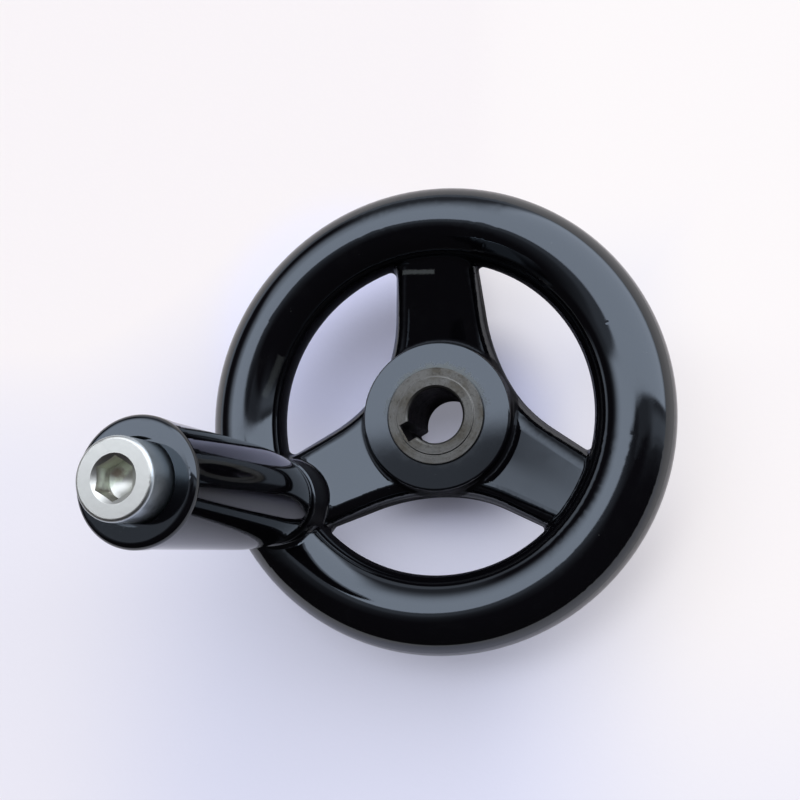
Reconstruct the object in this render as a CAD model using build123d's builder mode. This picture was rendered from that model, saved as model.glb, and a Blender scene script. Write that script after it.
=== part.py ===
from build123d import *
import os
from math import cos, radians, tan

# Small machine handwheel: a glossy moulded wheel with three spokes, a keyed steel bush in its hub and
# a grip that revolves on a sleeve and a socket head screw at the end of one spoke.
# Millimetres. The origin is the centre of the bore at the hub's back face. +Z runs along the bore,
# out of the wheel's front, and +X points at the handle. The keyway lies on +X too.

# ---------------------------------------------------------------- rim
rim_diameter = 100.0
rim_width = 16.2            # radial width of the oval section
rim_height = 15.0           # height of the oval section
rim_lead = 2.0              # from the hub's face forward to the middle of the section

# ---------------------------------------------------------------- hub
hub_length = 19.5           # length of the moulded hub
hub_face_diameter = 32.4
hub_draft = 2.0             # degrees, widening from both ends towards the spokes
hub_face_edge = 0.5         # rounding of the front edge
hub_back_edge = 0.8         # rounding of the back edge
hub_root = 0.8              # hollow between hub and spokes

# ---------------------------------------------------------------- spokes
spoke_count = 3
spoke_width = 17.8          # at the inside of the rim
spoke_side_angle = 5.6      # degrees that each side opens towards the hub
spoke_drop = 3.0            # from the hub's face down to the spoke's front face
spoke_rise = 7.0            # of the front face, from hub to rim
spoke_hub_thickness = 10.5
spoke_rim_thickness = 8.5
spoke_front_edge = 3.8      # rounding of the long front edges
spoke_back_edge = 1.5       # rounding of the long back edges
rim_root = 1.3              # hollow where spokes and boss meet the rim
window_corner_radius = 36.0  # large round inner corner of each window, beside the hub

# ---------------------------------------------------------------- steel bush in the hub
bore_diameter = 12.0
bore_chamfer = 0.5
key_width = 4.0
key_depth = 1.8             # beyond the bore's wall
bush_diameter = 21.0
bush_proud = 0.4            # of its outer ring, in front of the moulded hub
bush_ring_diameter = 17.0   # raised inner ring round the bore
bush_ring_height = 0.3
bush_groove_count = 2       # grooves that hold it in the moulding
bush_groove_width = 2.5
bush_groove_depth = 1.0

# ---------------------------------------------------------------- handle boss and its threaded insert
handle_inset = 12.7         # from the rim's outside to the handle's axis
boss_diameter = 18.4
boss_proud = 1.0            # above the rim's crown
boss_back_proud = 0.7       # below the spoke's back where the two meet
boss_edge = 0.5             # rounding of its top
boss_sweep = 1.8            # hollow between the first spoke and the boss
insert_diameter = 12.0
insert_length = 12.5
insert_collar_length = 3.0  # at each end of the insert, either side of its groove
insert_groove_depth = 1.0

# ---------------------------------------------------------------- screw and sleeve
screw_diameter = 8.0
screw_engagement = 10.0     # length of the screw inside the insert
screw_tip_chamfer = 1.0
head_diameter = 13.0
head_height = 8.0
head_edge = 0.6             # rounding of the head's rim
hex_size = 6.0              # across the flats
hex_depth = 4.0
hex_mouth_lead = 0.35       # how far the cone at the mouth reaches beyond the hexagon's corners
hex_mouth_angle = 30.0      # degrees, slope of that cone
hex_drill_angle = 120.0     # degrees, cone at the bottom of the hexagon
thread_gap = 0.05           # radial, between screw and insert
sleeve_diameter = 10.0
sleeve_length = 54.0
sleeve_gap = 0.2            # radial, between sleeve and screw
sleeve_chamfer = 0.4        # outer edge of each end

# ---------------------------------------------------------------- grip
grip_length = 56.0
grip_gap = 0.05             # radial running clearance on the sleeve
grip_end_play = 0.15        # at each end
grip_diameter = 20.7        # over its long middle
grip_end_diameter = 21.0    # bead round the outer end
grip_base_diameter = 17.2
grip_taper_length = 19.0    # from the base to the full diameter
grip_bead_length = 3.0
grip_edge = 1.2             # rounding of the outer end
grip_base_edge = 0.6
counterbore_diameter = 14.0  # for the screw's head in the grip's end

# ---------------------------------------------------------------- places worked out from the sizes
rim_outer_radius = rim_diameter / 2
rim_inner_radius = rim_outer_radius - rim_width
rim_centre_radius = rim_outer_radius - rim_width / 2
rim_middle = hub_length + rim_lead
rim_top = rim_middle + rim_height / 2

hub_foot_radius = hub_face_diameter / 2
hub_draft_slope = tan(radians(hub_draft))
spoke_front_hub = hub_length - spoke_drop
spoke_front_rim = spoke_front_hub + spoke_rise
spoke_back_hub = spoke_front_hub - spoke_hub_thickness
spoke_back_rim = spoke_front_rim - spoke_rim_thickness
spoke_middle_hub = (spoke_front_hub + spoke_back_hub) / 2
spoke_middle_rim = (spoke_front_rim + spoke_back_rim) / 2
hub_widest_radius = hub_foot_radius + (hub_length - spoke_middle_hub) * hub_draft_slope
hub_back_radius = hub_widest_radius - spoke_middle_hub * hub_draft_slope

bush_top = hub_length + bush_proud + bush_ring_height
handle_radius = rim_outer_radius - handle_inset
boss_top = rim_top + boss_proud
boss_radius = boss_diameter / 2
insert_bottom = boss_top - insert_length
screw_bottom = boss_top - screw_engagement
seat_height = boss_top + sleeve_length      # underside of the screw's head
grip_bottom = boss_top + grip_end_play
grip_top = grip_bottom + grip_length
counterbore_bottom = seat_height - grip_end_play
handle_axis = Axis((handle_radius, 0, 0), (0, 0, 1))


def cone_height(radius, height_at_hub, height_at_rim):
    """Height at a distance from the wheel's axis, on a cone given at the hub and at the rim's inside."""
    share = (radius - hub_foot_radius) / (rim_inner_radius - hub_foot_radius)
    return height_at_hub + share * (height_at_rim - height_at_hub)


def axis_distance(point):
    """Distance of a point from the wheel's axis."""
    return Vector(point.X, point.Y, 0).length


def is_in_front(edge):
    """Whether an edge lies on the front side of the spokes' middle surface."""
    spot = edge.center()
    return spot.Z > cone_height(axis_distance(spot), spoke_middle_hub, spoke_middle_rim)


def spoke_joint(edges):
    """Those of a new joint's edges that run round the spokes, without the hub's own parting line."""
    return edges.filter_by(lambda edge: abs(edge.center().Z - spoke_middle_hub) > 0.01)


def nearest_corner(sketch, place):
    """The corner of a sketch that lies nearest to a place in the sketch's own plane."""
    return sketch.vertices().sort_by_distance(place)[0]


boss_inner_reach = handle_radius - boss_radius
boss_bottom = cone_height(boss_inner_reach, spoke_back_hub, spoke_back_rim) - boss_back_proud

# ================================================================ hub bush
with BuildPart() as hub_bush:
    with BuildSketch(Plane.XY):
        Circle(bush_diameter / 2)
    extrude(amount=hub_length + bush_proud)
    with BuildSketch(Plane.XY):
        Circle(bush_ring_diameter / 2)
    extrude(amount=bush_top)
    for groove in range(bush_groove_count):
        groove_middle = hub_length * (groove + 1) / (bush_groove_count + 1)
        with BuildSketch(Plane.XY.offset(groove_middle - bush_groove_width / 2)):
            Circle(bush_diameter / 2)
            Circle(bush_diameter / 2 - bush_groove_depth, mode=Mode.SUBTRACT)
        extrude(amount=bush_groove_width, mode=Mode.SUBTRACT)

# The moulding fills the grooves, so its own hole has the shape of the bush before it is bored.
bush_blank = hub_bush.part

with hub_bush:
    with BuildSketch(Plane.XY):
        Circle(bore_diameter / 2)
    extrude(amount=bush_top, mode=Mode.SUBTRACT)
    bore_walls = hub_bush.faces().filter_by(GeomType.CYLINDER).sort_by(lambda face: face.radius)
    chamfer(bore_walls[0].edges().filter_by(GeomType.CIRCLE), bore_chamfer)
    with BuildSketch(Plane.XY):
        with Locations((bore_diameter / 4 + key_depth / 2, 0)):
            Rectangle(bore_diameter / 2 + key_depth, key_width)
    extrude(amount=bush_top, mode=Mode.SUBTRACT)
hub_bush.part.label = "hub_bush"

# ================================================================ threaded insert in the boss
with BuildPart() as boss_insert:
    with BuildSketch(Plane.XY.offset(insert_bottom)):
        with Locations((handle_radius, 0)):
            Circle(insert_diameter / 2)
    extrude(amount=insert_length)
    with BuildSketch(Plane.XY.offset(insert_bottom + insert_collar_length)):
        with Locations((handle_radius, 0)):
            Circle(insert_diameter / 2)
            Circle(insert_diameter / 2 - insert_groove_depth, mode=Mode.SUBTRACT)
    extrude(amount=insert_length - 2 * insert_collar_length, mode=Mode.SUBTRACT)

# The blank with its groove, before it is drilled, is the shape that the moulding closes round.
insert_blank = boss_insert.part

with boss_insert:
    with BuildSketch(Plane.XY.offset(insert_bottom)):
        with Locations((handle_radius, 0)):
            Circle(screw_diameter / 2 + thread_gap)
    extrude(amount=insert_length, mode=Mode.SUBTRACT)
boss_insert.part.label = "boss_insert"

# ================================================================ moulded wheel
# Plan of the spokes: each widens towards the hub, and neighbours meet in a large round corner.
spoke_half_width = spoke_width / 2
side_slope = tan(radians(spoke_side_angle))
with BuildSketch() as spoke_plan:
    with PolarLocations(0, spoke_count):
        with BuildSketch(mode=Mode.PRIVATE) as one_spoke:
            with BuildLine():
                Polyline(
                    (0, -spoke_half_width - rim_inner_radius * side_slope),
                    (rim_outer_radius, -spoke_half_width + rim_width * side_slope),
                    (rim_outer_radius, spoke_half_width - rim_width * side_slope),
                    (0, spoke_half_width + rim_inner_radius * side_slope),
                    close=True,
                )
            make_face()
        add(one_spoke.sketch)
    window_corners = spoke_plan.vertices().sort_by_distance((0, 0))[:spoke_count]
    fillet(window_corners, window_corner_radius)

with BuildPart() as wheel_body:
    # Dished web, cut to the plan of the spokes. Its edges are rounded before hub and rim join it.
    with BuildSketch(Plane.XZ):
        with BuildLine():
            Polyline(
                (0, cone_height(0, spoke_back_hub, spoke_back_rim)),
                (rim_centre_radius, cone_height(rim_centre_radius, spoke_back_hub, spoke_back_rim)),
                (rim_centre_radius, cone_height(rim_centre_radius, spoke_front_hub, spoke_front_rim)),
                (0, cone_height(0, spoke_front_hub, spoke_front_rim)),
                close=True,
            )
        make_face()
    revolve(axis=Axis.Z)
    with BuildSketch(Plane.XY):
        add(spoke_plan.sketch)
    extrude(amount=cone_height(rim_centre_radius, spoke_front_hub, spoke_front_rim), mode=Mode.INTERSECT)
    for in_front, rounding in ((True, spoke_front_edge), (False, spoke_back_edge)):
        walls = wheel_body.faces().filter_by(
            lambda face: abs(face.normal_at().Z) < 0.01 and axis_distance(face.center()) < rim_inner_radius
        )
        long_edges = walls.edges().filter_by(lambda edge: abs(edge.tangent_at(0.5).Z) < 0.7)
        fillet(long_edges.filter_by(lambda edge: is_in_front(edge) == in_front), rounding)

    # Boss for the handle. The first spoke sweeps into it all round.
    boss_edge_corner = (handle_radius + boss_radius, boss_top)
    with BuildSketch(Plane.XZ) as boss_profile:
        with BuildLine():
            Polyline(
                (handle_radius, boss_bottom),
                (handle_radius + boss_radius, boss_bottom),
                boss_edge_corner,
                (handle_radius, boss_top),
                close=True,
            )
        make_face()
        fillet(nearest_corner(boss_profile, boss_edge_corner), boss_edge)
    revolve(axis=handle_axis)
    fillet(wheel_body.edges(Select.NEW), boss_sweep)

    # Hub, drafted both ways from the spokes' middle.
    hub_front_corner = (hub_face_diameter / 2, hub_length)
    hub_back_corner = (hub_back_radius, 0)
    with BuildSketch(Plane.XZ) as hub_profile:
        with BuildLine():
            Polyline(
                (0, 0),
                hub_back_corner,
                (hub_widest_radius, spoke_middle_hub),
                hub_front_corner,
                (0, hub_length),
                close=True,
            )
        make_face()
        fillet(nearest_corner(hub_profile, hub_front_corner), hub_face_edge)
        fillet(nearest_corner(hub_profile, hub_back_corner), hub_back_edge)
    revolve(axis=Axis.Z)
    fillet(spoke_joint(wheel_body.edges(Select.NEW)), hub_root)

    # Oval rim.
    with BuildSketch(Plane.XZ):
        with Locations((rim_centre_radius, rim_middle)):
            Ellipse(rim_width / 2, rim_height / 2)
    revolve(axis=Axis.Z)
    fillet(wheel_body.edges(Select.NEW), rim_root)

    # Holes that the bush and the insert fill.
    add(bush_blank, mode=Mode.SUBTRACT)
    add(insert_blank, mode=Mode.SUBTRACT)
wheel_body.part.label = "wheel_body"

# ================================================================ sleeve
with BuildPart() as handle_sleeve:
    with BuildSketch(Plane.XY.offset(boss_top)):
        with Locations((handle_radius, 0)):
            Circle(sleeve_diameter / 2)
            Circle(screw_diameter / 2 + sleeve_gap, mode=Mode.SUBTRACT)
    extrude(amount=sleeve_length)
    chamfer(handle_sleeve.edges().filter_by(GeomType.CIRCLE).sort_by(lambda edge: edge.radius)[-2:], sleeve_chamfer)
handle_sleeve.part.label = "handle_sleeve"

# ================================================================ screw
with BuildPart() as handle_screw:
    with BuildSketch(Plane.XY.offset(screw_bottom)):
        with Locations((handle_radius, 0)):
            Circle(screw_diameter / 2)
    extrude(amount=seat_height - screw_bottom)
    chamfer(handle_screw.edges().sort_by(Axis.Z)[0], screw_tip_chamfer)
    with BuildSketch(Plane.XY.offset(seat_height)):
        with Locations((handle_radius, 0)):
            Circle(head_diameter / 2)
    extrude(amount=head_height)
    fillet(handle_screw.edges().sort_by(Axis.Z)[-1], head_edge)
    # Hexagon, its drilled bottom and the cone at its mouth.
    head_top = seat_height + head_height
    hex_corner_radius = hex_size / 2 / cos(radians(30))
    with BuildSketch(Plane.XY.offset(head_top - hex_depth)):
        with Locations((handle_radius, 0)):
            RegularPolygon(hex_corner_radius, 6)
    extrude(amount=hex_depth, mode=Mode.SUBTRACT)
    drill_depth = hex_size / 2 / tan(radians(hex_drill_angle / 2))
    with BuildSketch(Plane.XZ):
        with BuildLine():
            Polyline(
                (handle_radius, head_top - hex_depth - drill_depth),
                (handle_radius + hex_size / 2, head_top - hex_depth),
                (handle_radius, head_top - hex_depth),
                close=True,
            )
        make_face()
    revolve(axis=handle_axis, mode=Mode.SUBTRACT)
    mouth_radius = hex_corner_radius + hex_mouth_lead
    with BuildSketch(Plane.XZ):
        with BuildLine():
            Polyline(
                (handle_radius, head_top - mouth_radius * tan(radians(hex_mouth_angle))),
                (handle_radius + mouth_radius, head_top),
                (handle_radius, head_top),
                close=True,
            )
        make_face()
    revolve(axis=handle_axis, mode=Mode.SUBTRACT)
handle_screw.part.label = "handle_screw"

# ================================================================ grip
# Turned outline: waisted foot, long plain middle, then a bead round the outer end.
grip_radius = grip_diameter / 2
grip_end_radius = grip_end_diameter / 2
taper_top = grip_bottom + grip_taper_length
bead_bottom = grip_top - grip_bead_length
with BuildPart() as handle_grip:
    with BuildSketch(Plane.XZ) as grip_profile:
        with BuildLine():
            foot = (handle_radius + grip_base_diameter / 2, grip_bottom)
            Line((handle_radius, grip_bottom), foot)
            TangentArc((handle_radius + grip_radius, taper_top), foot, tangent=(0, -1))
            Line((handle_radius + grip_radius, taper_top), (handle_radius + grip_radius, bead_bottom))
            Line((handle_radius + grip_radius, bead_bottom), (handle_radius + grip_end_radius, bead_bottom))
            Line((handle_radius + grip_end_radius, bead_bottom), (handle_radius + grip_end_radius, grip_top))
            Line((handle_radius + grip_end_radius, grip_top), (handle_radius, grip_top))
            Line((handle_radius, grip_top), (handle_radius, grip_bottom))
        make_face()
        fillet(nearest_corner(grip_profile, foot), grip_base_edge)
        fillet(nearest_corner(grip_profile, (handle_radius + grip_end_radius, grip_top)), grip_edge)
    revolve(axis=handle_axis)
    with BuildSketch(Plane.XY.offset(grip_bottom)):
        with Locations((handle_radius, 0)):
            Circle(sleeve_diameter / 2 + grip_gap)
    extrude(amount=grip_length, mode=Mode.SUBTRACT)
    with BuildSketch(Plane.XY.offset(counterbore_bottom)):
        with Locations((handle_radius, 0)):
            Circle(counterbore_diameter / 2)
    extrude(amount=grip_top - counterbore_bottom, mode=Mode.SUBTRACT)
handle_grip.part.label = "handle_grip"

os.makedirs("parts", exist_ok=True)
export_step(wheel_body.part, "parts/wheel_body.step")
export_step(hub_bush.part, "parts/hub_bush.step")
export_step(boss_insert.part, "parts/boss_insert.step")
export_step(handle_sleeve.part, "parts/handle_sleeve.step")
export_step(handle_screw.part, "parts/handle_screw.step")
export_step(handle_grip.part, "parts/handle_grip.step")
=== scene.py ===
import math

import bmesh
import bpy
from bpy.props import FloatProperty, FloatVectorProperty, PointerProperty
from bpy.types import Operator, Panel, PropertyGroup
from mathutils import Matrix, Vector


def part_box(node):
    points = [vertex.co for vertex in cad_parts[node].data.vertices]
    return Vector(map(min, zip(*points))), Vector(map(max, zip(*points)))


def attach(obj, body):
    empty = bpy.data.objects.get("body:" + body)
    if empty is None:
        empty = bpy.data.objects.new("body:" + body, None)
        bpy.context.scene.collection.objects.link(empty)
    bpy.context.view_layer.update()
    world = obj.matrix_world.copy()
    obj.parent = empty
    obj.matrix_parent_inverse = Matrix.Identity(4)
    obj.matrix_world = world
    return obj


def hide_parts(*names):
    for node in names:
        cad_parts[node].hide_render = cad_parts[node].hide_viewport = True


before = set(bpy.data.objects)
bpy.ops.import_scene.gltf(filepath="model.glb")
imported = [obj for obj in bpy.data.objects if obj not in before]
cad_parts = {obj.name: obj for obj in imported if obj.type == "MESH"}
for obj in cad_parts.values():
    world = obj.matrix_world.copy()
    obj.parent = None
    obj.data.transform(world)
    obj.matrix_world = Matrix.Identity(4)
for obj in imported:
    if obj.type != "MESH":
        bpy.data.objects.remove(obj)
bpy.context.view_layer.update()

bl_info = {
    "name": "Machine handwheel",
    "version": (1, 0, 0),
    "blender": (4, 5, 0),
    "location": "3D View > Sidebar > Handwheel",
    "description": "Finishes a glossy moulded handwheel with a revolving grip, and its plain studio",
    "category": "Object",
}

# ================================================================ sizes and places
MM = 0.001
BUSH_LOW, BUSH_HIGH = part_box("hub_bush")
SCREW_LOW, SCREW_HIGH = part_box("handle_screw")

# The hub and its bush. The wheel's axis is Z, and the handle lies towards +X.
BUSH_RADIUS = (BUSH_HIGH.x - BUSH_LOW.x) / 2
BUSH_PROUD = 0.7 * MM               # the bush's inner ring in front of the moulded hub
HUB_FACE = BUSH_HIGH.z - BUSH_PROUD
HUB_RADIUS = 16.2 * MM
BORE_LIP_RADIUS = 6.3 * MM          # middle of the chamfer at the bore's mouth
RING_RADIUS = 8.5 * MM              # edge of the bush's raised inner ring
KEYWAY_REACH = 7.9 * MM             # just past the floor of the keyway
WINDOW_REACH = 34.0 * MM            # just past the rim's inner wall

# The screw in the handle
HANDLE_AXIS = ((SCREW_LOW.x + SCREW_HIGH.x) / 2, 0, 0)
SOCKET_RADIUS = 3.6 * MM
HEAD_FLAT_RADIUS = 6.1 * MM         # where the flat top of the head ends
HEAD_SIDE_RADIUS = 6.5 * MM
RUST_PLACE = (1.0 * MM, -2.0 * MM, SCREW_HIGH.z - 4.4 * MM)  # from the handle's axis

# Marks of use on the wheel, and strips of painted reflection
# Each dent: its place and size
DENTS = (((-40.2 * MM, 4.2 * MM, 28.7 * MM), 0.5 * MM),)
# Each strip of painted reflection, a pale streak where the rim's hollows show the light: its middle, turn,
# length, width and strength
PAINTED_REFLECTION_STRIPS = (
    ((-12.8 * MM, -28.8 * MM, 22.5 * MM), math.radians(147.6), 7.5 * MM, 0.8 * MM, 0.55),
    ((25.9 * MM, -24.8 * MM, 26.9 * MM), math.radians(40.0), 10.0 * MM, 1.0 * MM, 0.16),
)

# ================================================================ colours and strengths of the finishes
# The moulded phenolic, with its dirt, oil, strips of painted reflection, and a dull skin of painted shade
# that also draws the joint line
DIRT_AND_REFLECTION_COLOUR = (0.105, 0.107, 0.092)
# The dull skin paints shade on the walls inside the rim and round the hub's root, and draws the joint line.
SHADE_AND_JOINT_SKIN_COLOUR = (0.004, 0.0036, 0.0042)
GLOSS_TINT = (0.88, 0.95, 1.0)
PHENOLIC_IOR = 1.60
HAZE_ROUGHNESS = 0.02
HAIRLINE_ROUGHNESS = 0.12
HAIRLINE_DEPTH = 0.25               # share of the swell's depth
DIRT_AND_REFLECTION_ROUGHNESS = 0.5
DUST_FILM = 0.04
OIL_RAGGED = 3.4 * MM               # how far the oil film's edge wanders
OIL_HEAVY = 0.85
OIL_THIN = 0.05
OIL_TURN = math.radians(-60)        # turns X towards the side that is nearly wiped clean
JOINT_OFFSET = 0.1 * MM             # of the joint line, outside the metal
ROOT_OFFSET = 0.4 * MM              # of the painted shade's middle round the hub's root, outside the hub
ROOT_PAINTED_SHADE = 0.85
JOINT_SKIN = 0.9

# Turned steel, with its age, pits, scratches, and edges brightened partly by wear and partly by a painted
# highlight
DRAWN_STEEL_COLOUR = (0.42, 0.42, 0.42)
INSERT_STEEL_COLOUR = (0.40, 0.40, 0.39)
AGED_TINT = (0.72, 0.66, 0.56)
PIT_COLOUR = (0.06, 0.05, 0.04)
PIT_STRENGTH = 0.6
SCRATCH_TINT = 1.5
SCRATCH_STRENGTH = 0.2
GRAIN_TINT = 0.45
GRAIN_STRENGTH = 0.4
WORN_AND_HIGHLIGHT_TINT = 2.0
WORN_AND_HIGHLIGHT_STRENGTH = 0.6
OILED_BORE_COLOUR = (0.026, 0.021, 0.021)
STEEL_ROUGHNESS = 0.34
RING_ROUGHNESS = 0.10
AGED_ROUGHNESS = 0.12
PIT_ROUGHNESS = 0.2

# Zinc plate, with its spangle, stain and rust
SPANGLE_TINT = 0.90
HEAD_SIDE_REFLECTION_TINT = (0.85, 1.0, 1.2)
STAIN_COLOUR = (0.84, 0.90, 0.70)
STAIN_STRENGTH = 0.9
RUST_COLOUR = (0.22, 0.13, 0.09)
RUST_STRENGTH = 0.8
ZINC_ROUGHNESS = 0.30
ZINC_GRAIN_ROUGHNESS = 0.12
STAIN_ROUGHNESS = 0.08
STAIN_COVER = 0.9                   # how far stain and rust hide the metal
STAIN_CLEAN_WAY = (-0.26, 0.97, 0)  # from the screw's axis to the side without a stain
STAIN_RAGGED = 1.0 * MM
RUST_RAGGED = 1.2 * MM

# ================================================================ machining
WELD_DISTANCE = 0.002 * MM
FLAT_ANGLE = math.radians(0.4)      # faces that turn less than this are one flat face
EDGE_ANGLE = math.radians(25)       # a sharper edge than this is broken
SHARP_ANGLE = math.radians(20)      # a sharper edge than this isn't shaded smooth
FLAT_TURN = math.radians(3)         # a broad flat keeps its edge sharp past this turn
BROAD_FLAT = 8                      # times the size of the face beside it

# ================================================================ studio
# The floor card, with painted light and shade
FLOOR_RADIUS = 3.0
FLOOR_TURN = math.radians(-58.3)    # X then runs towards the viewer, and Y to the viewer's right
NEAR_RIGHT_LOSS = 0.5               # of white, on the right where it comes near
LEFT_WHITE = 0.5
BORE_LIGHT = 0.5                    # share of the hub's shade that the open bore takes away
DEEP_SHADE_PLACE = (13 * MM, -34 * MM, 0.0)
DEEP_SHADE_LOSS = 0.77
RIM_SHADE_RADIUS = 47 * MM
RIM_SHADE_LOSS = 0.4
OPEN_SIDE_GAIN = 0.5
OPEN_CORNER_GAIN = 0.5
SHADE_FAR_COLOUR = (1.0, 0.97, 0.98)

# The room. Heights are those of a direction of length 1, so 1 is straight up and 0 is the horizon.
WINDOW_SIDE = (-0.398, -0.905, -0.149)  # the way into the window from its straight top edge
SILL_FOOT = -0.02                   # where the window's light begins above the sill
SILL_FOOT_AWAY = 0.37               # rise of that height away from the low sharp end
SILL_FOOT_CORNER = 0.17             # and its further rise at the room's corner
SILL_FULL = 0.16                    # where the window's light is full
SILL_FULL_AWAY = 0.70
SILL_FULL_CORNER = -0.04
STRIP_LIGHT = 0.42
STRIP_SIDE_GAIN = 0.6
WALL_LIGHT = 0.25
CASING_LIGHT = 0.25
CASING_ZENITH_LOSS = 0.6
CURTAIN_LIGHT = 0.55
LIT_ROOM_SHARE = 0.3                # of the window's own light

# The camera
SENSOR_WIDTH = 36.0                 # in millimetres, as the lens is


# ================================================================ settings
class HandwheelFinish(PropertyGroup):
    """Colours and surface detail of the handwheel."""

    phenolic_colour: FloatVectorProperty(
        name="Phenolic colour", description="Colour of the moulded wheel and grip",
        subtype="COLOR", size=3, min=0, max=1, default=(0.0015, 0.0013, 0.0017))
    phenolic_roughness: FloatProperty(
        name="Phenolic roughness", description="Roughness of the clean moulded surface",
        min=0, max=1, default=0.045)
    steel_colour: FloatVectorProperty(
        name="Bush colour", description="Colour of the dull turned steel bush",
        subtype="COLOR", size=3, min=0, max=1, default=(0.088, 0.083, 0.073))
    zinc_colour: FloatVectorProperty(
        name="Zinc colour", description="Colour of the zinc plating on the screw",
        subtype="COLOR", size=3, min=0, max=1, default=(0.49, 0.468, 0.41))
    dust: FloatProperty(
        name="Dust", description="How much fine dust lies on the upward faces",
        subtype="FACTOR", min=0, max=1, default=0.5)
    machined_edge: FloatProperty(
        name="Machined edge", description="Width of the broken edges on turned steel",
        subtype="DISTANCE", unit="LENGTH", min=0, max=0.001, default=0.00012)


class HandwheelStudio(PropertyGroup):
    """Floor, light and camera."""

    # The floor's colours paint its light and shade: darker near the handwheel, whiter behind it, bluish
    # close under it.
    floor_colour: FloatVectorProperty(
        name="Floor colour", description="Colour of the floor near the handwheel",
        subtype="COLOR", size=3, min=0, max=1, default=(0.73, 0.675, 0.69))
    floor_far_colour: FloatVectorProperty(
        name="Far floor colour", description="Colour of the floor behind the handwheel",
        subtype="COLOR", size=3, min=0, max=1, default=(0.91, 0.79, 0.70))
    floor_shade_colour: FloatVectorProperty(
        name="Shaded floor colour", description="Colour of the floor close under the handwheel",
        subtype="COLOR", size=3, min=0, max=1, default=(0.84, 0.80, 0.95))
    shade_colour: FloatVectorProperty(
        name="Shade colour", description="Pale colour that the floor keeps in the handwheel's shade",
        subtype="COLOR", size=3, min=0, max=1, default=(0.775, 0.80, 1.0))
    shade_lift: FloatProperty(
        name="Shade lift", description="How much of the shade colour shows",
        subtype="FACTOR", min=0, max=1, default=0.40)
    window_colour: FloatVectorProperty(
        name="Window colour", description="Tint of the large soft light",
        subtype="COLOR", size=3, min=0, max=1, default=(0.766, 0.844, 1.0))
    window_strength: FloatProperty(
        name="Window strength", description="Brightness of the large soft light",
        min=0, max=20, default=3.85)
    room_colour: FloatVectorProperty(
        name="Room colour", description="Dark room on the side away from the window",
        subtype="COLOR", size=3, min=0, max=1, default=(0.030, 0.027, 0.032))
    backdrop_colour: FloatVectorProperty(
        name="Backdrop colour", description="Pale backdrop that the camera sees above the floor",
        subtype="COLOR", size=3, min=0, max=1, default=(0.90, 0.90, 0.93))
    lens: FloatProperty(
        name="Lens", description="Focal length of the camera in millimetres",
        min=10, max=200, default=42.2)
    camera_place: FloatVectorProperty(
        name="Camera place", description="Where the camera stands",
        subtype="TRANSLATION", unit="LENGTH", size=3, default=(-0.023778, 0.046554, 0.214769))
    camera_turn: FloatVectorProperty(
        name="Camera turn", description="Which way the camera looks, as XYZ angles",
        subtype="EULER", size=3,
        default=(math.radians(9.1888), math.radians(14.7551), math.radians(150.6597)))


# ================================================================ shader maths
class Wire:
    """One output socket. Arithmetic on it adds Math nodes to its finish."""

    def __init__(self, finish, socket):
        self.finish = finish
        self.socket = socket

    def maths(self, operation, *values):
        sockets = dict(enumerate(values))
        return self.finish.node("ShaderNodeMath", {"operation": operation}, sockets)

    def __add__(self, other):
        return self.maths("ADD", self, other)

    def __sub__(self, other):
        return self.maths("SUBTRACT", self, other)

    def __mul__(self, other):
        return self.maths("MULTIPLY", self, other)

    def __rsub__(self, other):
        return self.maths("SUBTRACT", other, self)

    __radd__ = __add__
    __rmul__ = __mul__

    def size(self):
        return self.maths("ABSOLUTE", self)

    def most(self, other):
        return self.maths("MAXIMUM", self, other)

    def least(self, other):
        return self.maths("MINIMUM", self, other)


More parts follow.
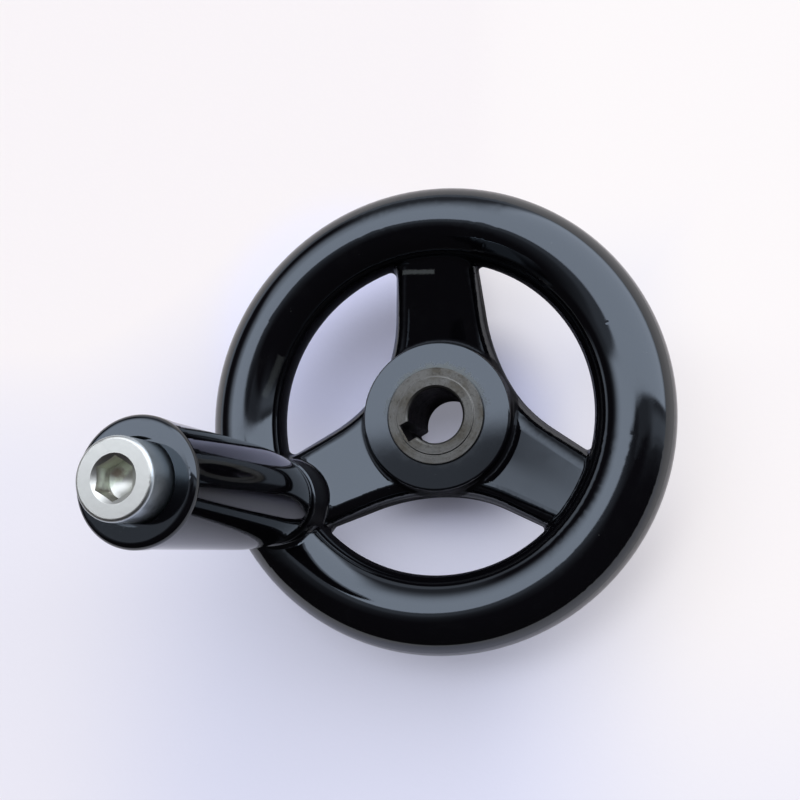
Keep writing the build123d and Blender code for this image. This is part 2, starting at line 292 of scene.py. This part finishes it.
class Finish:
    """A node tree being filled, with one method that makes its nodes."""

    def __init__(self, owner):
        owner.use_nodes = True
        self.owner = owner
        self.tree = owner.node_tree
        self.tree.nodes.clear()

    def node(self, kind, settings=None, sockets=None, output=0):
        """Adds a node: its settings come first, then a value or a wire for each named socket."""
        made = self.tree.nodes.new(kind)
        for name, value in (settings or {}).items():
            setattr(made, name, value)
        for key, value in (sockets or {}).items():
            if isinstance(value, Wire):
                self.tree.links.new(value.socket, made.inputs[key])
            else:
                made.inputs[key].default_value = value
        return Wire(self, made.outputs[output]) if made.outputs else None

    # ---- coordinates
    def place(self, centre=None, turn=None, stretch=(1, 1, 1)):
        """Object coordinates in metres, centred first, then turned and stretched, by Mapping nodes."""
        spot = self.node("ShaderNodeTexCoord", output="Object")
        if centre is not None:
            back = tuple(-length for length in centre)
            spot = self.node("ShaderNodeMapping", None, {"Vector": spot, "Location": back})
        if turn is not None:
            spot = self.node(
                "ShaderNodeMapping", None, {"Vector": spot, "Rotation": turn, "Scale": stretch})
        return spot

    def vector_maths(self, operation, first, second=None, output=0):
        sockets = {0: first} if second is None else {0: first, 1: second}
        return self.node("ShaderNodeVectorMath", {"operation": operation}, sockets, output)

    def axis(self, vector, name):
        return self.node("ShaderNodeSeparateXYZ", None, {"Vector": vector}, name)

    def level(self, vector):
        """A vector with its height taken away."""
        return self.vector_maths("MULTIPLY", vector, (1, 1, 0))

    def radius(self, vector):
        """Distance from the Z axis of a set of coordinates."""
        return self.vector_maths("LENGTH", self.level(vector), output="Value")

    def dot(self, vector, way):
        return self.vector_maths("DOT_PRODUCT", vector, way, "Value")

    def distance(self, vector, spot):
        return self.vector_maths("DISTANCE", vector, spot, "Value")

    # ---- patterns
    def step(self, value, start, full):
        """0 up to the start, 1 from full on, and smooth between them. Full may lie below the start."""
        return self.node(
            "ShaderNodeMapRange", {"interpolation_type": "SMOOTHSTEP"},
            {"Value": value, "From Min": start, "From Max": full})

    def noise(self, vector, scale, detail=2.0, roughness=0.5, distortion=0.0):
        return self.node(
            "ShaderNodeTexNoise", None,
            {"Vector": vector, "Scale": scale, "Detail": detail, "Roughness": roughness,
             "Distortion": distortion})

    def cells(self, vector, scale, feature="F1"):
        return self.node("ShaderNodeTexVoronoi", {"feature": feature}, {"Vector": vector, "Scale": scale})

    # ---- surfaces
    def blend(self, share, first, second):
        """Mixes two colours, which are this node's sockets 6 and 7. The mixed one is its output 2."""
        return self.node(
            "ShaderNodeMix", {"data_type": "RGBA"},
            {0: share, 6: self.rgba(first), 7: self.rgba(second)}, 2)

    @staticmethod
    def rgba(colour):
        """A colour as a socket wants it, with full alpha, or the wire it comes by."""
        return colour if isinstance(colour, Wire) else (*colour, 1.0)

    def bump(self, height, depth, normal=None):
        """Turns a height from 0 to 1 into a normal, for a relief of the given depth in metres."""
        sockets = {"Height": height, "Distance": depth, "Strength": 1.0}
        if normal is not None:
            sockets["Normal"] = normal
        return self.node("ShaderNodeBump", None, sockets)

    def seen_directly(self, mirrored):
        """1 for what the camera sees, through glass too, and in reflections as far as mirrored says."""
        camera_ray = self.node("ShaderNodeLightPath", output="Is Camera Ray")
        through_ray = self.node("ShaderNodeLightPath", output="Is Transmission Ray")
        gloss_ray = self.node("ShaderNodeLightPath", output="Is Glossy Ray")
        return camera_ray.most(through_ray).most(gloss_ray * mirrored)

    def principled(self, **sockets):
        """A Principled shader. Its sockets are named with underscores for spaces."""
        named = {key.replace("_", " "): value for key, value in sockets.items()}
        return self.node("ShaderNodeBsdfPrincipled", None, named)

    def mix_shaders(self, share, first, second):
        return self.node("ShaderNodeMixShader", None, {0: share, 1: first, 2: second})

    def done(self, shader):
        """Sends a shader to the material's output and gives the finished material."""
        self.node("ShaderNodeOutputMaterial", None, {"Surface": shader})
        return self.owner


def new_finish(name):
    return Finish(bpy.data.materials.new(name))


def scaled(colour, share):
    """A colour with its channels scaled, by one share or by one for each channel."""
    shares = share if isinstance(share, tuple) else (share,) * 3
    return tuple(channel * part for channel, part in zip(colour, shares))


# ================================================================ phenolic
def polish_wear(finish, spot):
    """Haze, the swirl of the polish, and scarce hairlines."""
    haze = finish.step(finish.noise(spot, scale=55.0, detail=3.0, roughness=0.55), start=0.35, full=0.75)
    brushed = finish.place(turn=(0.4, 0.2, 0.9), stretch=(1, 14, 1))
    swirl = finish.noise(brushed, scale=900.0, roughness=0.6, distortion=0.4)
    drawn_out = finish.place(turn=(0.3, 0.5, 0.7), stretch=(1, 9, 1))
    seams = finish.cells(drawn_out, scale=260.0, feature="DISTANCE_TO_EDGE")
    hairline = finish.step(seams, start=0.012, full=0.0)
    scarce = finish.step(finish.noise(spot, scale=140.0, detail=1.0), start=0.54, full=0.70)
    return haze, swirl, hairline * scarce


def settled_dust(finish, spot, facing_up, amount):
    """Specks and a thin patchy film on faces that look up."""
    speck = finish.step(finish.cells(spot, scale=1300.0), start=0.17, full=0.09)
    chosen = finish.step(finish.noise(spot, scale=420.0, roughness=0.7), start=0.66, full=0.72)
    film = finish.step(finish.noise(spot, scale=170.0, detail=6.0, roughness=0.7), start=0.50, full=0.85)
    return (speck * chosen * facing_up * amount).most(film * facing_up * (DUST_FILM * amount))


def oil_round_metal(finish, spot, edge_radius, face_height):
    """A ragged film of old oil round a metal edge, and the fine joint line that shows where it is thin."""
    past_edge = finish.radius(spot) - edge_radius
    grains = finish.noise(spot, scale=2600.0, detail=5.0, roughness=0.75)
    clouds = finish.noise(spot, scale=420.0, roughness=0.6)
    film = finish.step(past_edge + (grains + clouds - 1.0) * OIL_RAGGED, start=1.3 * MM, full=0.3 * MM)
    # The film lies heavily on one side of the metal, and is nearly wiped away on the other.
    across = finish.axis(finish.place(turn=(0, 0, OIL_TURN)), "X")
    heavy = finish.step(across, start=2 * MM, full=-10 * MM)
    height = finish.axis(spot, "Z")
    near_face = finish.step(height, start=face_height - 0.6 * MM, full=face_height - 0.1 * MM)
    film = film * (heavy * OIL_HEAVY + OIL_THIN) * near_face
    joint_line = finish.step((past_edge - JOINT_OFFSET).size(), start=0.24 * MM, full=0.10 * MM)
    return film, joint_line * (1.0 - heavy) * near_face


def painted_reflection_strip(finish, middle, turn, length, width, strength):
    """A pale strip with a ragged outline: a painted reflection."""
    near = finish.place(centre=middle, turn=(0, 0, -turn))
    outline_depth = 0.6 * width
    ragged = finish.noise(near, scale=1600.0, detail=3.0) * outline_depth
    lengthwise = finish.axis(near, "X").size() + ragged
    crosswise = finish.axis(near, "Y").size() + ragged
    strip = finish.step(lengthwise, start=length / 2 + 0.3 * width, full=length / 2)
    strip = strip * finish.step(crosswise, start=1.1 * width, full=0.6 * width)
    return strip * finish.step(finish.axis(near, "Z"), start=-2 * MM, full=-1 * MM) * strength


def dented(finish, spot, place, size, normal):
    """A small round dent with an uneven edge."""
    edge_depth = 0.8 * size
    reach = finish.distance(spot, place) + finish.noise(spot, scale=900.0) * edge_depth
    dent = finish.step(reach, start=1.4 * size, full=0.3 * size)
    return finish.bump(1.0 - dent, depth=0.030 * MM, normal=normal)


def painted_shade_walls(finish, spot, up):
    """Painted shade: 1 on the steep walls inside the rim, and nearly 1 on the root round the hub, under its
    face.
    """
    radius = finish.radius(spot)
    steep = finish.step(up.size(), start=0.45, full=0.20)
    steep = steep * finish.step(radius, start=WINDOW_REACH + 0.6 * MM, full=WINDOW_REACH)
    root = finish.step((radius - HUB_RADIUS - ROOT_OFFSET).size(), start=1.2 * MM, full=0.7 * MM)
    root = root * finish.step(finish.axis(spot, "Z"), start=HUB_FACE - 0.8 * MM, full=HUB_FACE - 1.4 * MM)
    return steep.most(root * ROOT_PAINTED_SHADE)


def phenolic_finish(name, settings, is_wheel):
    """Black compression-moulded phenolic: deep gloss, a faint swirl in the polish, hairlines and dust.

    The wheel also has oil round its bush, pale strips of painted reflection, a dent, and a duller skin that
    is painted shade on the walls inside the rim and round the hub's root, and draws the joint line round
    the bush.
    """
    finish = new_finish(name)
    spot = finish.place()
    up = finish.axis(finish.node("ShaderNodeNewGeometry", output="Normal"), "Z")
    facing_up = finish.step(up, start=0.55, full=0.98)
    haze, swirl, hairline = polish_wear(finish, spot)
    dirt_and_reflection = settled_dust(finish, spot, facing_up, settings.dust)
    if is_wheel:
        oil, joint_line = oil_round_metal(finish, spot, BUSH_RADIUS, HUB_FACE)
        dirt_and_reflection = dirt_and_reflection.most(oil)
        # Painted reflections: pale strips in the rim's hollows, in the dirt's colour.
        for strip in PAINTED_REFLECTION_STRIPS:
            dirt_and_reflection = dirt_and_reflection.most(painted_reflection_strip(finish, *strip))

    colour = finish.blend(dirt_and_reflection, settings.phenolic_colour, DIRT_AND_REFLECTION_COLOUR)
    rough = settings.phenolic_roughness + haze * HAZE_ROUGHNESS
    rough = rough + hairline * HAIRLINE_ROUGHNESS + dirt_and_reflection * DIRT_AND_REFLECTION_ROUGHNESS
    swell = finish.noise(spot, scale=300.0, detail=1.0, roughness=0.4) - hairline * HAIRLINE_DEPTH
    normal = finish.bump(swell, depth=0.0020 * MM)
    normal = finish.bump(swirl, depth=0.0008 * MM, normal=normal)
    if is_wheel:
        for dent_place, dent_size in DENTS:
            normal = dented(finish, spot, dent_place, dent_size, normal)
    glossy = finish.principled(
        Base_Color=colour, Roughness=rough, IOR=PHENOLIC_IOR, Specular_Tint=finish.rgba(GLOSS_TINT),
        Normal=normal)
    if not is_wheel:
        return finish.done(glossy)
    # Painted shade: a dull near-black skin with little reflection on the walls inside the rim and the hub's
    # root. It also draws the dark joint line round the bush.
    skin = finish.principled(
        Base_Color=finish.rgba(SHADE_AND_JOINT_SKIN_COLOUR), Roughness=0.45, Specular_IOR_Level=0.04,
        Normal=finish.bump(finish.noise(spot, scale=2400.0, detail=3.0), depth=0.006 * MM))
    dull = painted_shade_walls(finish, spot, up).most(joint_line * JOINT_SKIN)
    return finish.done(finish.mix_shaders(dull, glossy, skin))


# ================================================================ steel and zinc
def turned_steel_finish(name, clean, centre=None, worn_and_highlit_edges=(), has_bore=False):
    """Turned steel: fine rings round the axis, dull grey, with oxide in patches.

    worn_and_highlit_edges are radii where the metal is brightened: partly wear from handling, partly a
    painted highlight of the light that the edge catches. A bore with its keyway is dark with oil.
    """
    finish = new_finish(name)
    spot = finish.place(centre=centre)
    radius = finish.radius(spot)
    height = finish.axis(spot, "Z")
    along = finish.node("ShaderNodeCombineXYZ", None, {"X": radius, "Y": height})
    fine_rings = finish.noise(along, scale=9000.0, roughness=0.6)
    broad_rings = finish.noise(along, scale=1900.0, detail=1.0)
    patches = finish.step(finish.noise(spot, scale=260.0, detail=4.0, roughness=0.6), start=0.40, full=0.70)
    pits = finish.step(finish.noise(spot, scale=1800.0, detail=3.0, roughness=0.7), start=0.54, full=0.68)
    grain = finish.noise(spot, scale=3600.0, detail=3.0, roughness=0.7)
    base = finish.blend(patches, clean, scaled(clean, AGED_TINT))
    base = finish.blend(pits * PIT_STRENGTH, base, PIT_COLOUR)
    scratches = finish.step(broad_rings, start=0.42, full=0.62)
    base = finish.blend(scratches * SCRATCH_STRENGTH, base, scaled(clean, SCRATCH_TINT))
    dark_grain = finish.step(grain, start=0.42, full=0.66)
    base = finish.blend(dark_grain * GRAIN_STRENGTH, base, scaled(clean, GRAIN_TINT))
    # Painted highlight: thin bright rings on these edges, partly wear.
    for edge_radius in worn_and_highlit_edges:
        worn_and_highlit = finish.step((radius - edge_radius).size(), start=0.24 * MM, full=0.06 * MM)
        base = finish.blend(worn_and_highlit * WORN_AND_HIGHLIGHT_STRENGTH, base, scaled(clean, WORN_AND_HIGHLIGHT_TINT))
    if has_bore:
        inside = finish.step(radius, start=KEYWAY_REACH + 0.4 * MM, full=KEYWAY_REACH)
        inside = inside * finish.step(height, start=BUSH_HIGH.z - 0.3 * MM, full=BUSH_HIGH.z - 1.4 * MM)
        oiled = inside * finish.step(height, start=BUSH_LOW.z + 0.3 * MM, full=BUSH_LOW.z + 1.2 * MM)
        base = finish.blend(oiled, base, OILED_BORE_COLOUR)
    rough = STEEL_ROUGHNESS + broad_rings * RING_ROUGHNESS + patches * AGED_ROUGHNESS + pits * PIT_ROUGHNESS
    normal = finish.bump(fine_rings, depth=0.004 * MM)
    normal = finish.bump(broad_rings, depth=0.010 * MM, normal=normal)
    normal = finish.bump(1.0 - pits, depth=0.008 * MM, normal=normal)
    return finish.done(finish.principled(Base_Color=base, Roughness=rough, Metallic=1.0, Normal=normal))


def zinc_finish(name, zinc):
    """Bright zinc plate on a cold forged head, with a pale olive stain and a spot of rust in the socket."""
    finish = new_finish(name)
    spot = finish.place(centre=HANDLE_AXIS)
    radius = finish.radius(spot)
    spangle = finish.noise(spot, scale=700.0, detail=3.0, roughness=0.6)
    grain = finish.noise(spot, scale=3200.0, detail=3.0, roughness=0.7)
    in_socket = finish.step(radius, start=1.04 * SOCKET_RADIUS, full=0.94 * SOCKET_RADIUS)
    deep = finish.step(finish.axis(spot, "Z"), start=SCREW_HIGH.z - 0.2 * MM, full=SCREW_HIGH.z - 2.2 * MM)
    clean_side = finish.dot(spot, STAIN_CLEAN_WAY) + finish.noise(spot, scale=900.0) * STAIN_RAGGED
    stain = in_socket * deep * finish.step(finish.noise(spot, scale=330.0), start=0.2, full=0.5)
    stain = stain * finish.step(clean_side, start=-0.4 * MM, full=-1.1 * MM)
    ragged = finish.noise(spot, scale=1500.0, detail=3.0) * RUST_RAGGED
    rust_reach = finish.distance(spot, RUST_PLACE) + ragged
    rust = in_socket * deep * finish.step(rust_reach, start=2.1 * MM, full=0.9 * MM)
    base = finish.blend(spangle, zinc, scaled(zinc, SPANGLE_TINT))
    # Painted reflection: the head's side is tinted blue.
    on_side = finish.step(radius, start=HEAD_FLAT_RADIUS, full=HEAD_SIDE_RADIUS)
    base = finish.blend(on_side, base, scaled(zinc, HEAD_SIDE_REFLECTION_TINT))
    base = finish.blend(stain * STAIN_STRENGTH, base, STAIN_COLOUR)
    base = finish.blend(rust * RUST_STRENGTH, base, RUST_COLOUR)
    rough = ZINC_ROUGHNESS + grain * ZINC_GRAIN_ROUGHNESS + stain * STAIN_ROUGHNESS
    normal = finish.bump(grain, depth=0.004 * MM)
    normal = finish.bump(spangle, depth=0.014 * MM, normal=normal)
    metal = 1.0 - stain.most(rust) * STAIN_COVER
    return finish.done(finish.principled(Base_Color=base, Roughness=rough, Metallic=metal, Normal=normal))


# ================================================================ meshes
def dress(node_name, material):
    """Puts a finish in every material slot of a CAD node."""
    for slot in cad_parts[node_name].material_slots:
        slot.material = material


def new_object(work, name, material):
    """Turns a bmesh into an object of the scene."""
    mesh = bpy.data.meshes.new(name)
    work.to_mesh(mesh)
    work.free()
    mesh.materials.append(material)
    made = bpy.data.objects.new(name, mesh)
    bpy.context.scene.collection.objects.link(made)
    return made


def merged_copy(node_name):
    """A copy of a CAD node with its loose triangles merged and its flat faces made whole."""
    work = bmesh.new()
    work.from_mesh(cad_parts[node_name].data)
    bmesh.ops.remove_doubles(work, verts=work.verts, dist=WELD_DISTANCE)
    bmesh.ops.dissolve_limit(
        work, angle_limit=FLAT_ANGLE, verts=work.verts, edges=work.edges, use_dissolve_boundaries=False)
    return work


def break_edges(work, width):
    """Puts a small bevel on every sharp edge."""
    closed = [edge for edge in work.edges if len(edge.link_faces) == 2]
    sharp = [edge for edge in closed if edge.calc_face_angle(0.0) > EDGE_ANGLE]
    bmesh.ops.bevel(
        work, geom=sharp, offset=width, offset_type="OFFSET", segments=2, profile=0.5,
        affect="EDGES", clamp_overlap=True, material=-1)


def shade_by_angle(work):
    """Smooth faces. An edge stays sharp where it turns sharply, or borders a broad flat."""
    for face in work.faces:
        face.smooth = True
    for edge in work.edges:
        turned = edge.calc_face_angle(math.pi)
        areas = sorted(face.calc_area() for face in edge.link_faces)
        beside_flat = turned > FLAT_TURN and areas[-1] > BROAD_FLAT * areas[0]
        edge.smooth = turned < SHARP_ANGLE and not beside_flat


def machined_piece(node_name, name, material, edge_width):
    """A copy of a CAD node with broken edges, which rides on the wheel in the node's stead."""
    work = merged_copy(node_name)
    break_edges(work, edge_width)
    shade_by_angle(work)
    piece = new_object(work, name, material)
    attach(piece, "wheel")
    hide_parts(node_name)


# ================================================================ stage
def floor_material(settings):
    """A pale card with painted light and shade: whiter behind the wheel and beside it, a bluish painted
    shade close under it, and a glow that shows some of its colour in the shade.
    """
    finish = new_finish("floor_card")
    spot = finish.place()
    turned = finish.place(turn=(0, 0, FLOOR_TURN))
    nearer = finish.axis(turned, "X")
    beside = finish.axis(turned, "Y")
    radius = finish.radius(spot)
    # Painted light: the card is painted whiter behind the wheel and beside it.
    right_side = finish.step(beside, start=5 * MM, full=60 * MM)
    right_side = right_side * (1.0 - finish.step(nearer, start=30 * MM, full=100 * MM) * NEAR_RIGHT_LOSS)
    left_side = finish.step(beside, start=-45 * MM, full=-110 * MM) * LEFT_WHITE
    white = (finish.step(nearer, start=20 * MM, full=-60 * MM).most(right_side) + left_side).least(1.0)
    colour = finish.blend(white, settings.floor_colour, settings.floor_far_colour)

    # Painted shade: a bluish shade colour close under the hub and on the handle's side, with less under the
    # open bore.
    under_hub = finish.step(radius, start=30 * MM, full=16 * MM)
    under_hub = under_hub - finish.step(radius, start=12 * MM, full=6 * MM) * BORE_LIGHT
    deep_side = finish.step(finish.distance(spot, DEEP_SHADE_PLACE), start=42 * MM, full=15 * MM)
    shaded = under_hub.most(deep_side)
    colour = finish.blend(shaded, colour, settings.floor_shade_colour)
    normal = finish.bump(finish.noise(spot, scale=900.0, detail=3.0), depth=0.020 * MM)
    card = finish.principled(Base_Color=colour, Roughness=0.85, Specular_IOR_Level=0.1, Normal=normal)

    # Painted light: the card glows with part of its own pale colour in the shade too, to the camera and in
    # reflections. The glow is weaker in the painted shade and under the rim, and stronger on the open side.
    pale = finish.blend(white, settings.shade_colour, SHADE_FAR_COLOUR)
    glow = finish.node("ShaderNodeEmission", None, {"Color": pale, "Strength": 1.0})
    under_rim = finish.step((radius - RIM_SHADE_RADIUS).size(), start=14 * MM, full=4 * MM)
    under_rim = under_rim * finish.step(nearer, start=5 * MM, full=35 * MM)
    open_corner = finish.step(beside, start=-2 * MM, full=12 * MM)
    open_corner = open_corner * finish.step(nearer, start=-10 * MM, full=-28 * MM)
    open_side = finish.step(beside, start=0, full=30 * MM) * OPEN_SIDE_GAIN + open_corner * OPEN_CORNER_GAIN
    lift = settings.shade_lift * (1.0 - shaded * DEEP_SHADE_LOSS) * (1.0 - under_rim * RIM_SHADE_LOSS)
    lift = lift * (open_side + 1.0)
    seen = finish.seen_directly(finish.step(radius, start=55 * MM, full=95 * MM))
    return finish.done(finish.mix_shaders(seen * lift, card, glow))


def lay_floor(settings):
    """A wide round card under the handwheel, which isn't part of it."""
    work = bmesh.new()
    bmesh.ops.create_circle(work, cap_ends=True, segments=96, radius=FLOOR_RADIUS)
    new_object(work, "floor", floor_material(settings))


def window_opening(finish, across, level, height):
    """1 in the window, whose straight top edge runs past the zenith to the horizon on both sides."""
    below_top = finish.step(across, start=-0.016, full=0.014)
    # Towards -X the sill is low and sharp. Away from there it fades over a wide band, and the corner
    # towards +X lifts its foot once more.
    away = finish.step(finish.dot(level, (-1, 0, 0)), start=0.81, full=0.41)
    corner = finish.step(finish.dot(level, (1, 0, 0)), start=0.36, full=0.53)
    sill_foot = away * SILL_FOOT_AWAY + SILL_FOOT + corner * SILL_FOOT_CORNER
    sill_full = away * SILL_FULL_AWAY + SILL_FULL + corner * SILL_FULL_CORNER
    return below_top * finish.step(height, start=sill_foot, full=sill_full)


def light_in_room(finish, across, side, height):
    """Share of pale light on the room's walls beside the window and in a strip on the horizon."""
    strip = finish.step(height, start=0.24, full=0.15) * finish.step(across, start=-0.15, full=0.15)
    strip = strip * (finish.step(side, start=0.0, full=0.5) * STRIP_SIDE_GAIN + STRIP_LIGHT)
    beside = finish.step(across, start=-0.42, full=-0.04)
    low_side = finish.step(side, start=0.1, full=-0.1)
    wall = low_side * finish.step(height, start=0.88, full=0.68)
    wall = wall + (1.0 - low_side) * finish.step(height, start=0.42, full=0.60)
    curtain = finish.step(across, start=-0.25, full=-0.14) * finish.step(across, start=-0.03, full=-0.10)
    curtain = curtain * finish.step(height, start=0.80, full=0.60) * low_side
    casing = finish.step(across, start=-0.17, full=-0.09) * finish.step(height, start=0.60, full=0.80)
    casing = casing * (1.0 - finish.step(height, start=0.975, full=0.990) * CASING_ZENITH_LOSS)
    lit = strip + beside * wall * WALL_LIGHT + casing * CASING_LIGHT + curtain * CURTAIN_LIGHT
    return lit.least(1.0)


def light_world(settings):
    """A room round the handwheel, with one large window. The camera itself sees a pale backdrop."""
    world = bpy.data.worlds.new("studio_window")
    bpy.context.scene.world = world
    finish = Finish(world)
    way = finish.node("ShaderNodeTexCoord", output="Generated")
    height = finish.axis(way, "Z")
    across = finish.dot(way, WINDOW_SIDE)
    level = finish.vector_maths("NORMALIZE", finish.level(way))
    window = window_opening(finish, across, level, height)
    lit = light_in_room(finish, across, finish.axis(way, "X"), height)
    window_light = scaled(settings.window_colour, settings.window_strength)
    room = finish.blend(lit, settings.room_colour, scaled(window_light, LIT_ROOM_SHARE))
    room = finish.blend(window, room, window_light)
    skyline = finish.step(height.size(), start=0.06, full=0.02)
    colour = finish.blend(finish.seen_directly(skyline), room, settings.backdrop_colour)
    glow = finish.node("ShaderNodeBackground", None, {"Color": colour, "Strength": 1.0})
    finish.node("ShaderNodeOutputWorld", None, {"Surface": glow})


def stand_camera(settings):
    """The camera, at its place and looking its way."""
    camera = bpy.data.cameras.new("camera")
    camera.lens = settings.lens
    camera.sensor_width = SENSOR_WIDTH
    camera.clip_start = 0.01
    camera.clip_end = 20.0
    stand = bpy.data.objects.new("camera", camera)
    stand.location = settings.camera_place
    stand.rotation_euler = settings.camera_turn
    bpy.context.scene.collection.objects.link(stand)
    bpy.context.scene.camera = stand


# ================================================================ operators
class HANDWHEEL_OT_moulding(Operator):
    """Finish the moulded wheel: gloss, hairlines, dust, the small marks of use, painted reflections and
    painted shade
    """

    bl_idname = "handwheel.moulding"
    bl_label = "Moulded wheel"

    def execute(self, context):
        settings = context.scene.handwheel_finish
        dress("wheel_body", phenolic_finish("wheel_phenolic_gloss", settings, is_wheel=True))
        return {"FINISHED"}


class HANDWHEEL_OT_bush(Operator):
    """Finish the keyed steel bush in the hub, with broken edges and turning rings"""

    bl_idname = "handwheel.bush"
    bl_label = "Hub bush"

    def execute(self, context):
        settings = context.scene.handwheel_finish
        steel = turned_steel_finish(
            "bush_turned_steel", settings.steel_colour,
            worn_and_highlit_edges=(BORE_LIP_RADIUS, RING_RADIUS), has_bore=True)
        machined_piece("hub_bush", "bush_turned", steel, settings.machined_edge)
        return {"FINISHED"}


class HANDWHEEL_OT_hardware(Operator):
    """Finish the socket head screw, its sleeve and the threaded insert"""

    bl_idname = "handwheel.hardware"
    bl_label = "Screw, sleeve and insert"

    def execute(self, context):
        settings = context.scene.handwheel_finish
        zinc = zinc_finish("screw_zinc_plate", settings.zinc_colour)
        machined_piece("handle_screw", "screw_socket_head", zinc, settings.machined_edge)
        dress("handle_sleeve", turned_steel_finish("sleeve_drawn_steel", DRAWN_STEEL_COLOUR, HANDLE_AXIS))
        dress("boss_insert", turned_steel_finish("insert_turned_steel", INSERT_STEEL_COLOUR, HANDLE_AXIS))
        return {"FINISHED"}


class HANDWHEEL_OT_grip(Operator):
    """Finish the revolving grip"""

    bl_idname = "handwheel.grip"
    bl_label = "Revolving grip"

    def execute(self, context):
        settings = context.scene.handwheel_finish
        dress("handle_grip", phenolic_finish("grip_phenolic_gloss", settings, is_wheel=False))
        return {"FINISHED"}


class HANDWHEEL_OT_studio(Operator):
    """Set a pale floor, one large soft window of light and the camera"""

    bl_idname = "handwheel.studio"
    bl_label = "Studio"

    def execute(self, context):
        settings = context.scene.handwheel_studio
        lay_floor(settings)
        light_world(settings)
        stand_camera(settings)
        context.scene.view_settings.view_transform = "Standard"
        return {"FINISHED"}


class HANDWHEEL_PT_sidebar(Panel):
    """Sidebar panel with the steps in order"""

    bl_label = "Handwheel"
    bl_space_type = "VIEW_3D"
    bl_region_type = "UI"
    bl_category = "Handwheel"

    def draw(self, context):
        for step in STEPS:
            self.layout.operator(step.bl_idname)
        for group in (context.scene.handwheel_finish, context.scene.handwheel_studio):
            for name in group.__annotations__:
                self.layout.prop(group, name)


STEPS = (
    HANDWHEEL_OT_moulding,
    HANDWHEEL_OT_bush,
    HANDWHEEL_OT_hardware,
    HANDWHEEL_OT_grip,
    HANDWHEEL_OT_studio,
)
CLASSES = (HandwheelFinish, HandwheelStudio, *STEPS, HANDWHEEL_PT_sidebar)


def register():
    for item in CLASSES:
        bpy.utils.register_class(item)
    bpy.types.Scene.handwheel_finish = PointerProperty(type=HandwheelFinish)
    bpy.types.Scene.handwheel_studio = PointerProperty(type=HandwheelStudio)


def unregister():
    del bpy.types.Scene.handwheel_studio
    del bpy.types.Scene.handwheel_finish
    for item in reversed(CLASSES):
        bpy.utils.unregister_class(item)


def main():
    register()
    for step in STEPS:
        group, name = step.bl_idname.split(".")
        getattr(getattr(bpy.ops, group), name)()


if __name__ == "__main__":
    main()
